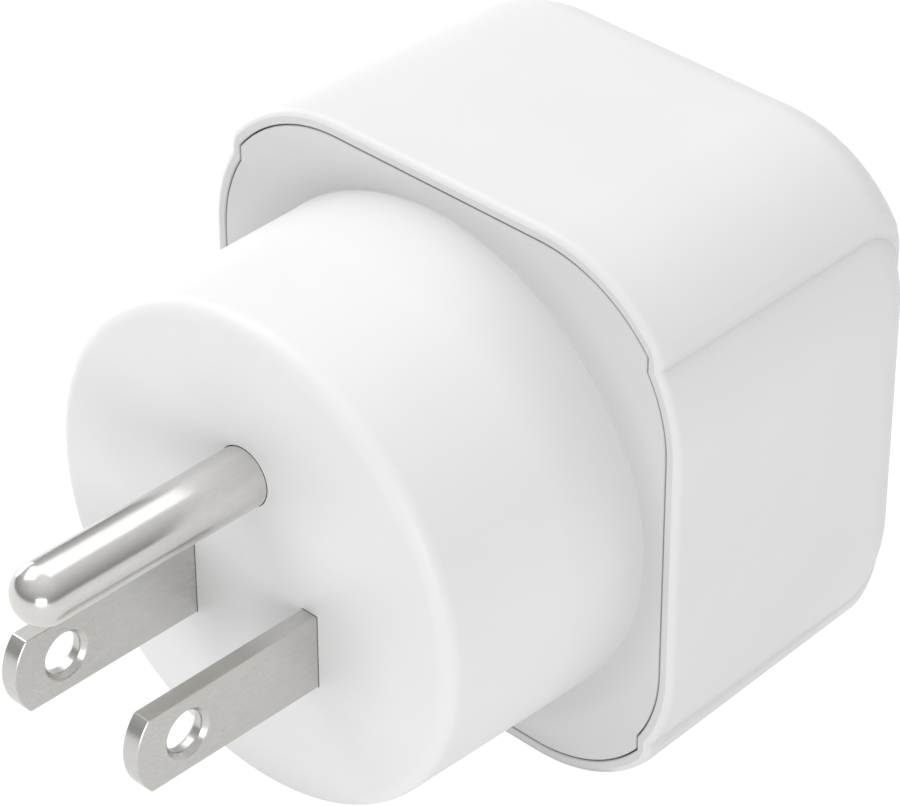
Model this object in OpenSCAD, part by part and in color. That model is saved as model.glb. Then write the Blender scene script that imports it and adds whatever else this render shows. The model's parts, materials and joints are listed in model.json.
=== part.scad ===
// Earthed travel adapter: a three-pin plug on a round boss at the front, a rounded-square
// housing behind it, and a multi-standard socket with a sprung safety shutter at the rear.
// The plug face is the plane y = 0, the pins point along -Y, the earth pin is on top (+Z),
// and the housing is centred on the Y axis.  All lengths are millimetres.

/* [Plug pins] */
// Distance between the two blades, centre to centre
blade_spacing = 12.7; // [12.5:0.1:12.9]
// Height of a blade's flat side
blade_w = 6.3; // [6.1:0.05:6.4]
// Thickness of a blade
blade_t = 1.5; // [1.4:0.02:1.6]
// Length of a blade in front of the plug face
blade_len = 17.35; // [15.9:0.05:18.2]
// How far a blade's tip bulges past its corners
blade_tip = 1.25; // [0.4:0.05:2]
// Diameter of the through hole in a blade
blade_hole_d = 3.3; // [3:0.1:3.5]
// Diameter of the countersink round that hole
blade_sink_d = 4.1; // [3.8:0.1:4.8]
// Distance of the blade hole from the plug face
blade_hole_y = 12.6; // [11:0.1:13]
// Height of the blades' centre line below the adapter's axis
blade_drop = 4.56; // [3.5:0.02:5.5]
// Diameter of the earth pin
earth_d = 4.75; // [4.6:0.05:4.85]
// Length of the earth pin in front of the plug face
earth_len = 21.1; // [19:0.1:21.5]
// Height of the earth pin's axis above the blades' centre line
earth_rise = 11.91; // [11.5:0.01:12.2]
// Width of the relief groove round the earth pin where it enters the face
groove_w = 0.6; // [0.55:0.05:1]
// Depth of that groove
groove_depth = 0.3; // [0.2:0.05:0.5]

/* [Plug base] */
// Diameter of the round boss at the plug face
boss_d = 40.45; // [39:0.05:44]
// Length of the boss, from the plug face to the flange
boss_len = 19.45; // [14:0.05:24]
// Growth of the boss radius along its length, per millimetre
boss_draft = 0.014; // [0:0.001:0.03]
// Rounding of the boss's front edge
boss_edge = 1.3; // [0.5:0.1:2.5]
// Wall of the boss, and of its front face
boss_wall = 2.4; // [1.8:0.1:3.5]
// Thickness of the front face that carries the pins
face_wall = 3; // [2.4:0.1:4]
// Thickness of the flange
flange_t = 2; // [1.5:0.1:3]

/* [Housing] */
// Width of the housing at its front rim
body_w = 47.02; // [44:0.02:54]
// Height of the housing at its front rim
body_h = 47.22; // [44:0.02:54]
// Depth of the housing, from the flange to the rear face
body_depth = 28.55; // [26:0.05:38]
// Corner radius of the side panels
side_r = 13.9; // [12:0.1:16]
// Corner radius of the top and bottom bands
band_r = 14.15; // [12:0.05:16]
// Outward shift of the bands' corner arcs past the side panels' arcs
band_shift = 0.57; // [0.3:0.01:1]
// Depth of the flat cut that ends each band, in from the side panel
band_cut = 1.98; // [1.4:0.02:2.6]
// Chamfer on the edge of that cut
band_chamfer = 0.5; // [0.2:0.05:0.9]
// Inward lean of the bands, per millimetre of depth
band_draft = 0.033; // [0:0.001:0.04]
// Inward lean of the side panels, per millimetre of depth
side_draft = 0.024; // [0:0.001:0.04]
// Rounding of the bands' rear edges
rear_r_band = 4; // [2:0.1:5]
// Rounding of the side panels' rear edges
rear_r_side = 5.1; // [3:0.1:6]
// Width of the front rim round the flange
rim_w = 1.12; // [0.9:0.02:1.6]
// Rounding of the front rim's outer edge
rim_edge = 0.68; // [0.3:0.02:0.85]
// Thinnest wall between the cavity and the outside of a side panel
housing_wall = 3.1; // [2.4:0.1:4]
// Thickness of the rear wall
rear_wall = 2.7; // [2:0.1:4]

/* [Socket] */
// Height of the live and neutral row above the axis
row_z = 11; // [9:0.1:12]
// Distance from that row down to the round and flat earth holes
earth_near = 11.9; // [11.5:0.1:12]
// Distance from that row down to the large rectangular earth hole
earth_far = 22.23; // [22:0.01:22.4]
// Half of the distance between the large rectangular line holes
wide_x = 11.11; // [11:0.01:11.2]
// Half of the distance between the round line holes
round_x = 9.5; // [9.2:0.05:9.6]
// Half of the distance between the slanted line holes
slant_x = 6.86; // [6.7:0.02:7]
// Thickness of the socket's face over the shutter
socket_t = 2; // [1.5:0.1:3]
// Room between the socket's face and the shutter cover
shutter_room = 4.6; // [4:0.1:6]

/* [Shutter] */
// Travel of the shutter
shutter_travel = 7.5; // [7.2:0.1:8]
// Mean radius of a return spring's coil
spring_r = 1.3; // [1:0.05:1.6]
// Wire diameter of a return spring
spring_wire = 0.4; // [0.3:0.05:0.5]
// Distance of each return spring from the middle
spring_x = 10; // [8:0.1:12]
// Number of turns of a return spring
spring_turns = 8; // [6:1:9]

/* [Metal parts] */
// Thickness of the brass links
strap_t = 0.8; // [0.6:0.1:1]
// Thickness of the contact springs
contact_t = 0.5; // [0.4:0.05:0.7]
// Radius of a rivet's shank
rivet_r = 1; // [0.8:0.1:1.2]
// Radius of a screw's shank
screw_r = 1.2; // [1:0.1:1.4]
// Radius of a screw's head
screw_head_r = 2.1; // [1.8:0.1:2.4]

/* [Fits] */
// Visible gap between the flange and the housing's rim, and round the socket face
seam_gap = 0.12; // [0.06:0.02:0.2]
// Gap round a pin, screw or rivet in its hole
hole_gap = 0.05; // [0.03:0.01:0.1]
// Gap between the shutter and what it slides in
slide_gap = 0.25; // [0.2:0.05:0.35]
// Gap between the inner mouldings and the housing
inner_gap = 0.5; // [0.3:0.05:1]

/* [Hidden] */
$fn = 48;
eps = 0.01;

// planes along Y, from the plug face to the rear
flange_y = boss_len;
flange_back = flange_y + flange_t;
rear_y = flange_y + body_depth;
rear_wall_y = rear_y - rear_wall;
socket_back = rear_y - socket_t;                   // inner side of the socket's face
cover_back = socket_back - shutter_room;           // the cover's face towards the shutter
cover_t = 1.4;
carrier_end = cover_back - cover_t;
carrier_y = flange_back + 3.55;                    // front of the carrier's floor
carrier_floor = 1.5;

// places in the X-Z plane
blade_x = blade_spacing/2;
blade_z = -blade_drop;
earth_z = blade_z + earth_rise;
near_z = row_z - earth_near;
far_z = row_z - earth_far;

// the housing's section: two pairs of corner arcs, bands and side panels
corner_z = body_h/2 - band_r;
side_cx = body_w/2 - side_r;
band_cx = side_cx + band_shift;
cut_x = body_w/2 - band_cut;
cut_draft = side_draft;
seam_cut_x = cut_x - rim_w + 0.05;

// inner mouldings
cavity_x = body_w/2 - housing_wall;
cavity_z = body_h/2 - housing_wall;
cavity_r = 11;
hook_t = 1.2;
hook_z = 4;
hook_room = hook_t + 2*inner_gap - 0.2;
inner_x = cavity_x - hook_room;
inner_z = cavity_z - 1.2;
inner_r = 9.8;
boss_in_r = boss_d/2 - boss_wall;

// shutter pocket
pocket_top = row_z + 4.25;
pocket_foot = row_z - 19.9;
pocket_x = wide_x + 4.4;
insert_x = pocket_x + 1;
insert_z = pocket_top + 1.65;
spring_y = (socket_back + cover_back)/2;
shutter_low = row_z - 4;
shutter_high = pocket_top - slide_gap;

// fastenings
retainer_y = face_wall + 3.05;
retainer_t = 2;
retainer_screw = [12.6, 2];
carrier_spots = [[0, 15.5], [13, -13.5], [-13, -13.5]];
cover_spots = [[12.5, -12.5], [-12.5, -12.5]];
tail_end = retainer_y + retainer_t + 6;
pin_tail_r = 1.6;                                  // thin rear end of the earth pin
rivet_y = tail_end - 2.6;
contact_rivet_x = 10.9;
earth_rivet_z = (near_z + far_z)/2;

plastic = "white";
shade = "gainsboro";
nickel = "silver";
brass = "goldenrod";

// puts a flat outline drawn in X and Z at y0, with thickness t along +Y
module along_y(y0, t) {
    translate([0, y0, 0]) rotate([-90, 0, 0]) mirror([0, 1, 0]) linear_extrude(t) children();
}

// extrudes an outline drawn in Y and Z along X, from x0
module along_x(x0, t) {
    translate([x0, 0, 0]) rotate([90, 0, 90]) linear_extrude(t) children();
}

// a round bar along +Y
module bar_y(x, z, y0, len, r) {
    along_y(y0, len) translate([x, z]) circle(r);
}

module box(low, high) {
    translate(low) cube(high - low);
}

// rectangle with corner arcs of radius r about (+-cx, +-cz)
module round_rect(cx, cz, r) {
    square([2*cx, 2*(cz + r)], center = true);
    square([2*(cx + r), 2*cz], center = true);
    for (sx = [-1, 1], sz = [-1, 1])
        translate([sx*cx, sz*cz]) circle(r, $fn = 96);
}

// same, from half sizes
module pad(hx, hz, r) {
    round_rect(hx - r, hz - r, r);
}

// outline of the flange, less an all-round gap
module seam_outline(gap) {
    intersection() {
        round_rect(band_cx, corner_z, band_r - rim_w - gap);
        square([2*(seam_cut_x - gap), 2*body_h], center = true);
    }
    round_rect(side_cx, corner_z, side_r - rim_w - gap);
}

// how far a rounded edge of radius r has moved in at y
function rear_inset(y, r) = y > rear_y - r ? r - sqrt(max(0, r*r - pow(y - rear_y + r, 2))) : 0;
function rim_inset(y) =
    y < flange_y + rim_edge ? rim_edge - sqrt(max(0, rim_edge*rim_edge - pow(flange_y + rim_edge - y, 2))) : 0;
// radius of the bands' and side panels' corner arcs at y, and the plane that cuts the bands
function band_at(y) = band_r - (y - flange_y)*band_draft - rim_inset(y) - rear_inset(y, rear_r_band);
function side_at(y) = side_r - (y - flange_y)*side_draft - rim_inset(y) - rear_inset(y, rear_r_side);
function cut_at(y) = cut_x - (y - flange_y)*cut_draft - rim_inset(y) - 0.3*rear_inset(y, rear_r_band);
// width of a corner arc at height z
function reach(cx, r, z) = cx + (z <= corner_z ? r : sqrt(max(0, r*r - pow(z - corner_z, 2))));
function skin_x(y, z) =
    max(reach(side_cx, side_at(y), z), min(cut_at(y), reach(band_cx, band_at(y), z)));
// height at which an arc meets the cutting plane
function meet(cx, r, x) = corner_z + sqrt(max(0, r*r - pow(min(x - cx, r), 2)));

// one quarter of the section, from the top down to the middle of the side
arc_steps = 10;
flank_steps = 8;
function quarter(y) =
    let (r = band_at(y), x = cut_at(y), edge = meet(band_cx, r, x),
         a0 = atan2(edge - corner_z, min(x - band_cx, r)) + band_chamfer/r*180/PI,
         valley = meet(side_cx, side_at(y), x),
         lip = max(edge - band_chamfer, valley + 0.3))
    concat([for (i = [0:arc_steps])
                let (a = 90 + (a0 - 90)*i/arc_steps) [band_cx + r*cos(a), corner_z + r*sin(a)]],
           [[skin_x(y, lip), lip]],
           [for (i = [0:flank_steps]) let (z = valley*(1 - i/flank_steps)) [skin_x(y, z), z]]);
function flip(p, sx, sz) = [for (q = p) [sx*q[0], sz*q[1]]];
function turned(p) = [for (i = [len(p) - 1:-1:0]) p[i]];
function without_ends(p) = [for (i = [1:len(p) - 2]) p[i]];
function ring(y) =
    let (q = quarter(y))
    concat(q, without_ends(turned(flip(q, 1, -1))), [[q[0][0], -q[0][1]], [-q[0][0], -q[0][1]]],
           without_ends(flip(q, -1, -1)), turned(flip(q, -1, 1)));

rim_y = [for (a = [0, 30, 60, 90]) flange_y + rim_edge*(1 - cos(a))];
rear_ring_y = [for (a = [0:10:90]) rear_y - rear_r_side*(1 - sin(a))];
stations = concat(rim_y, [(flange_y + rear_y)/2], rear_ring_y);

module housing_skin() {
    rings = [for (y = stations) ring(y)];
    n = len(rings[0]);
    m = len(rings);
    points = [for (k = [0:m - 1], p = rings[k]) [p[0], stations[k], p[1]]];
    walls = [for (k = [0:m - 2], i = [0:n - 1], half = [0, 1])
                let (j = (i + 1) % n, a = k*n + i, b = k*n + j, c = a + n, d = b + n)
                half == 0 ? [a, c, b] : [b, c, d]];
    polyhedron(points, concat([[for (i = [0:n - 1]) i]], walls,
                              [[for (i = [n - 1:-1:0]) (m - 1)*n + i]]));
}

// socket apertures of one line contact, drawn for the +X side and shared by face and cover
module line_aperture(grow) {
    translate([wide_x, row_z]) square([6.9 + grow, 4.5 + grow], center = true);
    translate([round_x, row_z]) circle(2.45 + grow/2);
    translate([blade_x, row_z]) square([2 + grow, 7 + grow], center = true);
    translate([slant_x, row_z]) rotate(-30) square([2 + grow, 7 + grow], center = true);
}

module earth_aperture(grow) {
    translate([0, near_z]) circle(2.6 + grow/2);
    translate([0, near_z]) square([1.9 + grow, 7 + grow], center = true);
    translate([0, far_z]) square([4.6 + grow, 8.6 + grow], center = true);
}

module apertures(grow) {
    for (s = [0, 1]) mirror([s, 0]) line_aperture(grow);
    earth_aperture(grow);
}

module outer_housing() {
    color(plastic) difference() {
        housing_skin();
        along_y(flange_y - eps, flange_t + eps) seam_outline(0);
        along_y(flange_y, rear_wall_y - flange_y) pad(cavity_x, cavity_z, cavity_r);
        along_y(rear_wall_y - eps, rear_wall + 2*eps)
            pad(insert_x + seam_gap, insert_z + seam_gap, 4 + seam_gap);
        for (s = [-1, 1])
            translate([s*(cavity_x + 0.4), flange_back + 5.2, 0])
                cube([1.6, 3.2, 2*hook_z + 0.8], center = true);
    }
}

module boss_profile() {
    r0 = boss_d/2;
    difference() {
        union() {
            polygon([[0, 0], [r0 - boss_edge, 0], [r0, boss_edge],
                     [r0 + boss_draft*boss_len, flange_back], [0, flange_back]]);
            translate([r0 - boss_edge, boss_edge]) circle(boss_edge);
        }
        translate([-2*r0, -r0]) square([2*r0, 4*r0]);
    }
}

module blade_slot(x) {
    box([x - blade_t/2 - hole_gap, -1, blade_z - blade_w/2 - hole_gap],
        [x + blade_t/2 + hole_gap, face_wall + 1, blade_z + blade_w/2 + hole_gap]);
}

// pillars inside the boss that take the retainer's and the carrier's screws
module pillars() {
    for (s = [-1, 1])
        bar_y(s*retainer_screw[0], retainer_screw[1], face_wall - eps, retainer_y - face_wall + eps, 2.6);
    for (p = carrier_spots) {
        intersection() {
            bar_y(p[0], p[1], face_wall - eps, flange_back - face_wall + 2*eps, 2.8);
            bar_y(0, 0, 0, flange_back + 1, boss_in_r + 1);
        }
        bar_y(p[0], p[1], flange_back - 1, carrier_y - flange_back + 1, 2.8);
    }
}

// snap hook on the +X side, its nose in the housing's pocket
module snap_hook() {
    x1 = cavity_x - inner_gap;
    foot = flange_back - eps;
    translate([0, 0, -hook_z]) linear_extrude(2*hook_z)
        polygon([[x1 - hook_t, foot], [x1, foot], [x1, flange_back + 4], [x1 + inner_gap + 0.5, flange_back + 4.2],
                 [x1, flange_back + 6.4], [x1 - hook_t, flange_back + 6.4]]);
}

module plug_base() {
    color(plastic) difference() {
        union() {
            difference() {
                union() {
                    rotate([-90, 0, 0]) rotate_extrude($fn = 128) boss_profile();
                    along_y(flange_y, flange_t) seam_outline(seam_gap);
                }
                bar_y(0, 0, face_wall, flange_back, boss_in_r, $fn = 96);
            }
            pillars();
            for (s = [0, 1]) mirror([s, 0, 0]) snap_hook();
        }
        for (s = [-1, 1]) {
            blade_slot(s*blade_x);
            bar_y(s*retainer_screw[0], retainer_screw[1], face_wall - 1, 20, screw_r + hole_gap);
        }
        bar_y(0, earth_z, -1, face_wall + 2, earth_d/2 + hole_gap);
        for (p = carrier_spots) bar_y(p[0], p[1], carrier_y - 10, 12, screw_r + hole_gap);
    }
}

module socket_face() {
    color(plastic) difference() {
        union() {
            along_y(cover_back, rear_wall_y - cover_back) pad(inner_x, inner_z, inner_r);
            along_y(rear_wall_y - eps, rear_y - rear_wall_y + eps) pad(insert_x, insert_z, 4);
        }
        difference() {
            box([-pocket_x, cover_back - 1, pocket_foot], [pocket_x, socket_back, pocket_top]);
            for (s = [-1, 1])
                translate([s*spring_x, spring_y, pocket_foot - 1]) cylinder(h = 3.5, r = spring_r - 0.55);
        }
        along_y(cover_back - 1, rear_y - cover_back + 2) apertures(0);
        for (p = cover_spots) bar_y(p[0], p[1], cover_back - 1, 4.4, screw_r + hole_gap);
    }
}

// a blade: outline in Y and Z, with a lug behind the face wall and a narrow tail
module blade(x) {
    tip_r = (pow(blade_w/2, 2) + blade_tip*blade_tip)/(2*blade_tip);
    lug_z = blade_w/2 + 1.4;
    color(nickel) difference() {
        along_x(x - blade_t/2, blade_t) translate([0, blade_z]) {
            intersection() {
                translate([-blade_len, -blade_w/2]) square([blade_len + face_wall + 1, blade_w]);
                union() {
                    translate([tip_r - blade_len, 0]) circle(tip_r, $fn = 96);
                    translate([blade_tip - blade_len, -blade_w]) square([3*blade_len, 2*blade_w]);
                }
            }
            translate([face_wall, -lug_z]) square([retainer_y - face_wall, 2*lug_z]);
            translate([face_wall, -2.5]) square([tail_end - face_wall, 5]);
        }
        translate([x, -blade_hole_y, blade_z]) rotate([0, 90, 0]) {
            cylinder(h = 2*blade_t, r = blade_hole_d/2, center = true);
            for (s = [-1, 1]) scale([1, 1, s]) translate([0, 0, blade_t/2 - (blade_sink_d - blade_hole_d)/2])
                cylinder(h = (blade_sink_d - blade_hole_d)/2 + 0.2, r1 = blade_hole_d/2,
                         r2 = blade_sink_d/2 + 0.2);
        }
        translate([x, rivet_y, blade_z]) rotate([0, 90, 0])
            cylinder(h = 2*blade_t, r = rivet_r + hole_gap, center = true);
    }
}

module live_blade() {
    blade(blade_x);
}

module neutral_blade() {
    blade(-blade_x);
}

// round pin with a domed tip, a collar behind the face wall and a swaged tail
module earth_pin() {
    r = earth_d/2;
    swage_r = pin_tail_r + 0.5;
    color(nickel) {
        translate([0, 0, earth_z]) rotate([-90, 0, 0]) rotate_extrude($fn = 64) {
            intersection() {
                translate([0, r - earth_len]) circle(r);
                translate([0, -earth_len]) square([r, r]);
            }
            translate([0, r - earth_len]) square([r, earth_len - r]);
            translate([0, -eps]) square([r - groove_depth, groove_w + 2*eps]);
            translate([0, groove_w]) square([r, face_wall - groove_w]);
            translate([0, face_wall]) square([r + 1.3, retainer_y - face_wall]);
            translate([0, face_wall]) square([pin_tail_r, tail_end - 2 - face_wall]);
            translate([0, rivet_y - 1.2 + strap_t]) square([swage_r, 0.7]);
        }
    }
}

module pin_retainer() {
    color(shade) difference() {
        bar_y(0, 0, retainer_y, retainer_t, boss_in_r - inner_gap);
        for (s = [-1, 1]) {
            box([s*blade_x - blade_t/2 - hole_gap, 0, blade_z - 2.5 - hole_gap],
                [s*blade_x + blade_t/2 + hole_gap, 30, blade_z + 2.5 + hole_gap]);
            bar_y(s*retainer_screw[0], retainer_screw[1], 0, 30, screw_r + hole_gap);
        }
        bar_y(0, earth_z, 0, 30, pin_tail_r + hole_gap);
        for (p = carrier_spots) bar_y(p[0], p[1], 0, 30, 2.8 + inner_gap);
    }
}

// pan-head screw along -Y with its head's underside at y
module screw(x, z, y, len) {
    difference() {
        union() {
            bar_y(x, z, y - len, len + 0.5, screw_r);
            bar_y(x, z, y, 1.3, screw_head_r);
        }
        for (a = [0, 90]) translate([x, y + 1.3, z]) rotate([0, a, 0]) cube([2.4, 1.2, 0.5], center = true);
    }
}

module retainer_screws() {
    color(nickel) for (s = [-1, 1])
        screw(s*retainer_screw[0], retainer_screw[1], retainer_y + retainer_t, 4.6);
}

module carrier_screws() {
    color(nickel) for (p = carrier_spots) screw(p[0], p[1], carrier_y + carrier_floor, 9);
}

module cover_screws() {
    color(nickel) for (p = cover_spots)
        mirror([0, 1, 0]) screw(p[0], p[1], -carrier_end, 4);
}

// link from a blade's tail up to its contact: pad, riser, arm and riveted tab
module line_strap() {
    x0 = blade_x + blade_t/2;
    x1 = x0 + strap_t;
    y0 = rivet_y - 2;
    color(brass) difference() {
        union() {
            box([x0, y0, blade_z - 2.4], [x1, y0 + 4, row_z + 2]);
            box([x0, y0, row_z - 2], [x1, carrier_y, row_z + 2]);
            box([x0, carrier_y - strap_t, row_z - 2], [contact_rivet_x + 2, carrier_y, row_z + 2]);
        }
        translate([x0 - 1, rivet_y, blade_z]) rotate([0, 90, 0]) cylinder(h = 4, r = rivet_r + hole_gap);
        bar_y(contact_rivet_x, row_z, carrier_y - 2, 4, rivet_r + hole_gap);
    }
}

module live_strap() {
    line_strap();
}

module neutral_strap() {
    mirror([1, 0, 0]) line_strap();
}

// link from the earth pin's tail down between the blades to the earth contact
module earth_strap() {
    y0 = rivet_y - 1.2;
    foot = earth_rivet_z - 2.8;
    color(brass) difference() {
        union() {
            box([-2.4, y0, foot], [2.4, y0 + strap_t, earth_z + 2.6]);
            box([-2.4, y0, foot], [2.4, carrier_y, foot + strap_t]);
            box([-2.4, carrier_y - strap_t, foot], [2.4, carrier_y, earth_rivet_z + 2.4]);
        }
        bar_y(0, earth_z, y0 - 1, 3, pin_tail_r + hole_gap);
        bar_y(0, earth_rivet_z, carrier_y - 2, 4, rivet_r + hole_gap);
    }
}

// a rivet along X through a blade's tail and its strap
module blade_rivet() {
    x0 = blade_x - blade_t/2;
    x1 = blade_x + blade_t/2 + strap_t;
    color(nickel) translate([0, rivet_y, blade_z]) rotate([0, 90, 0]) {
        translate([0, 0, x0 - 0.5]) cylinder(h = x1 - x0 + 1, r = rivet_r);
        translate([0, 0, x0 - 0.6]) cylinder(h = 0.6, r = 1.7*rivet_r);
        translate([0, 0, x1]) cylinder(h = 0.6, r = 1.7*rivet_r);
    }
}

module live_blade_rivet() {
    blade_rivet();
}

module neutral_blade_rivet() {
    mirror([1, 0, 0]) blade_rivet();
}

// a rivet along Y through a strap's tab, the carrier's floor and a contact
module contact_rivet(x, z) {
    y0 = carrier_y - strap_t;
    y1 = carrier_y + carrier_floor + contact_t;
    color(nickel) {
        bar_y(x, z, y0 - 0.5, y1 - y0 + 1, rivet_r);
        bar_y(x, z, y0 - 0.6, 0.6, 1.7*rivet_r);
        bar_y(x, z, y1, 0.6, 1.7*rivet_r);
    }
}

module live_contact_rivet() {
    contact_rivet(contact_rivet_x, row_z);
}

module neutral_contact_rivet() {
    contact_rivet(-contact_rivet_x, row_z);
}

module earth_contact_rivet() {
    contact_rivet(0, earth_rivet_z);
}

// a leaf that leans in to a waist and flares at its mouth; x is the depth, y the distance out
leaf_foot = carrier_y + carrier_floor;
leaf_waist = leaf_foot + 6.5;
leaf_mouth = carrier_end - 1.2;
module leaf(out, waist, mouth) {
    t = contact_t;
    polygon([[leaf_foot, out - t], [leaf_foot, out], [leaf_foot + 0.6, out], [leaf_waist, waist + t],
             [leaf_mouth, mouth + t], [leaf_mouth, mouth], [leaf_waist, waist], [leaf_foot + 0.6, out - t]]);
}

// line contact: floor plate, an upper and a lower leaf, and a side leaf for flat blades
module line_contact() {
    y0 = leaf_foot;
    color(brass) difference() {
        union() {
            box([blade_x + 1.2, y0, row_z - 4], [wide_x + 3.6, y0 + contact_t, row_z + 4]);
            box([blade_x - 1.3, y0, row_z - 3], [blade_x + 1.3, y0 + contact_t, row_z + 3]);
            for (s = [0, 1])
                translate([0, 0, row_z]) mirror([0, 0, s])
                    along_x(blade_x + 1.2, wide_x + 2.4 - blade_x) leaf(4, 1.3, 3);
            translate([blade_x, 0, row_z - 3]) linear_extrude(6) mirror([1, 0]) rotate(90) mirror([0, 1])
                leaf(1.3, 0.8, 1.3);
        }
        bar_y(contact_rivet_x, row_z, y0 - 1, 3, rivet_r + hole_gap);
    }
}

module live_contact() {
    line_contact();
}

module neutral_contact() {
    mirror([1, 0, 0]) line_contact();
}

// earth contact: one tall pair of leaves that takes every earth pin
module earth_contact() {
    y0 = leaf_foot;
    low = far_z - 3.9;
    high = near_z + 3.3;
    color(brass) difference() {
        union() {
            box([-3, y0, low], [3, y0 + contact_t, high]);
            for (s = [0, 1])
                mirror([s, 0, 0]) translate([0, 0, low]) linear_extrude(high - low) mirror([1, 0]) rotate(90)
                    leaf(3, 1.2, 2.4);
        }
        bar_y(0, earth_rivet_z, y0 - 1, 3, rivet_r + hole_gap);
    }
}

// insulating tray: chambers for the three contacts, pockets for the screw heads
module contact_carrier() {
    y0 = carrier_y + carrier_floor;
    color(shade) difference() {
        along_y(carrier_y, carrier_end - carrier_y) pad(inner_x, inner_z, inner_r);
        along_y(y0, carrier_end) intersection() {
            pad(inner_x - 1.4, inner_z - 1.4, inner_r - 1.4);
            union() {
                for (s = [0, 1]) mirror([s, 0]) {
                    translate([blade_x - 1.9, row_z - 5]) square([wide_x + 5.8 - blade_x, 10.2]);
                    translate([5.4, -30]) square([30, row_z - 6.4 + 30]);
                }
                translate([-4.2, -30]) square([8.4, near_z + 4.6 + 30]);
                translate([1.2 - blade_x + 2, row_z - 5]) square([2*blade_x - 6.4, 30]);
            }
        }
        for (p = carrier_spots) bar_y(p[0], p[1], carrier_y - 1, 4, screw_r + hole_gap);
        for (s = [-1, 1]) bar_y(s*contact_rivet_x, row_z, carrier_y - 1, 4, rivet_r + hole_gap);
        bar_y(0, earth_rivet_z, carrier_y - 1, 4, rivet_r + hole_gap);
    }
}

module shutter_cover() {
    color(shade) difference() {
        along_y(carrier_end, cover_t) pad(inner_x, inner_z, inner_r);
        along_y(carrier_end - 1, cover_t + 2) apertures(0.8);
        for (p = cover_spots) bar_y(p[0], p[1], carrier_end - 1, 4, screw_r + hole_gap);
    }
}

// shutter: two ramps behind the line apertures, joined by a bridge over the earth holes
module shutter() {
    y0 = cover_back + slide_gap;
    y1 = socket_back - slide_gap;
    x1 = pocket_x - slide_gap;
    x0 = blade_x - 1.6;
    bridge = near_z + 3.5 + shutter_travel + 0.8;
    color(shade) {
        for (s = [0, 1]) mirror([s, 0, 0]) {
            along_x(x0, x1 - x0)
                polygon([[y0, shutter_low], [y1, shutter_low], [y1, shutter_low + 0.8],
                         [y0 + 0.6, shutter_high], [y0, shutter_high]]);
            translate([spring_x, spring_y, shutter_low - 2.5]) cylinder(h = 2.6, r = spring_r - 0.55);
        }
        box([-x0 - eps, y0, bridge], [x0 + eps, y0 + 1.2, shutter_high]);
    }
}

// coil spring: a wire of six sides swept along a helix between z0 and z1
module coil(z0, z1) {
    sides = 6;
    steps = 14*spring_turns;
    wire = spring_wire/2;
    rings = [for (k = [0:steps])
        let (a = 360*spring_turns*k/steps, z = z0 + wire + (z1 - z0 - 2*wire)*k/steps)
        [for (i = [0:sides - 1])
            let (b = 360*i/sides + 30, r = spring_r + wire*cos(b)) [r*cos(a), r*sin(a), z + wire*sin(b)]]];
    points = [for (ring = rings, p = ring) p];
    walls = [for (k = [0:steps - 1], i = [0:sides - 1], half = [0, 1])
        let (j = (i + 1) % sides, a = k*sides + i, b = k*sides + j, c = a + sides, d = b + sides)
        half == 0 ? [a, b, c] : [b, d, c]];
    polyhedron(points, concat([[for (i = [sides - 1:-1:0]) i]], walls,
                              [[for (i = [0:sides - 1]) steps*sides + i]]));
}

module shutter_spring(x) {
    color(nickel) translate([x, spring_y, 0]) coil(pocket_foot, shutter_low);
}

module shutter_spring_left() {
    shutter_spring(-spring_x);
}

module shutter_spring_right() {
    shutter_spring(spring_x);
}

outer_housing();
plug_base();
socket_face();
live_blade();
neutral_blade();
earth_pin();
pin_retainer();
retainer_screws();
live_strap();
neutral_strap();
earth_strap();
live_contact();
neutral_contact();
earth_contact();
live_blade_rivet();
neutral_blade_rivet();
live_contact_rivet();
neutral_contact_rivet();
earth_contact_rivet();
contact_carrier();
carrier_screws();
shutter_cover();
cover_screws();
shutter();
shutter_spring_left();
shutter_spring_right();
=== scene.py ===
import json
import math

import bmesh
import bpy
from mathutils import Matrix, Vector


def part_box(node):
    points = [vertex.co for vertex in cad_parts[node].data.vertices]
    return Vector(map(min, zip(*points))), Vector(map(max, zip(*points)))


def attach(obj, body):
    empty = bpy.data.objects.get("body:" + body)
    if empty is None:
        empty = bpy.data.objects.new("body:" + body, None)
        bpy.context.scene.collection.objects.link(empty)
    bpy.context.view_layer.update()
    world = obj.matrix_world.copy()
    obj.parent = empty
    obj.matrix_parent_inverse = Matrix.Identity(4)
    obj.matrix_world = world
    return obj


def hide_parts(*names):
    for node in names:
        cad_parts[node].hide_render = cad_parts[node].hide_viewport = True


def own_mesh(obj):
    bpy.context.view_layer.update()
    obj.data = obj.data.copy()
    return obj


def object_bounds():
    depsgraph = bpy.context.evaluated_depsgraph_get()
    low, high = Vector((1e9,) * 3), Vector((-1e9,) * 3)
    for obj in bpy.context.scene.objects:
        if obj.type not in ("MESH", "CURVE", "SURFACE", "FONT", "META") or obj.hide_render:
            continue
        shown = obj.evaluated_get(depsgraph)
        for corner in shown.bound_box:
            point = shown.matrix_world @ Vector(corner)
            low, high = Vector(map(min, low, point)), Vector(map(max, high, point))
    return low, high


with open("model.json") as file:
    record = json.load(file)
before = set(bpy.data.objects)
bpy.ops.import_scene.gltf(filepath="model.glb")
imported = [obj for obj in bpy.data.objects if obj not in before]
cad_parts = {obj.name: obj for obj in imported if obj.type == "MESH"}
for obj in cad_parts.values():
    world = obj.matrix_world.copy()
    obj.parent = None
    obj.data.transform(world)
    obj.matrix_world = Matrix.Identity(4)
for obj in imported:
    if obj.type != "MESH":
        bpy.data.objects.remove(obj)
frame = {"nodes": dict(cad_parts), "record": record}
cadBox = [list(corner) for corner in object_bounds()]
mm = 0.001  # the sizes below are millimetres, the scene is in metres
print("frame loaded:", len(frame["nodes"]), "nodes")

# ways to make meshes

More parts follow.
